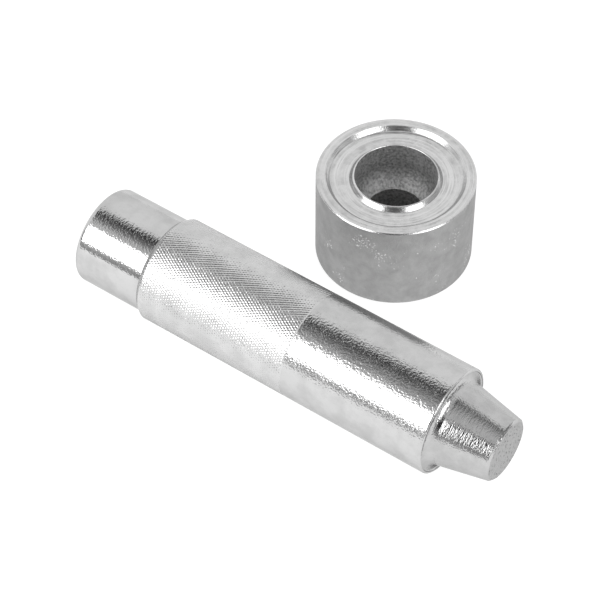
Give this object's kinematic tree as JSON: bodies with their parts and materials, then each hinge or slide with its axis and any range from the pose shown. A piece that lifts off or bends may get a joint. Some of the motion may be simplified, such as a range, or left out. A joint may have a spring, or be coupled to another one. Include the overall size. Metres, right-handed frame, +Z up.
{
  "type": "eyelet setting tool",
  "caption": "Turned steel hand punch with a knurled grip and tapered nose, and a loose round anvil with a recessed seat and cup, for setting eyelets with a mallet.",
  "frame": {"origin": "middle of the pair's bounding box, on the table they lie on", "axes": "+X along the lying punch toward its nose, +Y from the punch to the anvil, +Z up along the anvil's axis"},
  "size_m": [0.0882, 0.062, 0.0206],
  "materials": {
    "punch_steel": "bright zinc plate over a knurled and turned bar",
    "anvil_steel": "satin zinc plate, fine turning rings on top"
  },
  "bodies": {
    "anvil": {"anvil": "anvil_steel"},
    "punch": {"punch": "punch_steel"}
  },
  "joints": [
    {"name": "punch_lift", "type": "slide", "parent": "anvil", "child": "punch", "axis": [0, 0, 1], "range_m": [0, 0.1]}
  ]
}
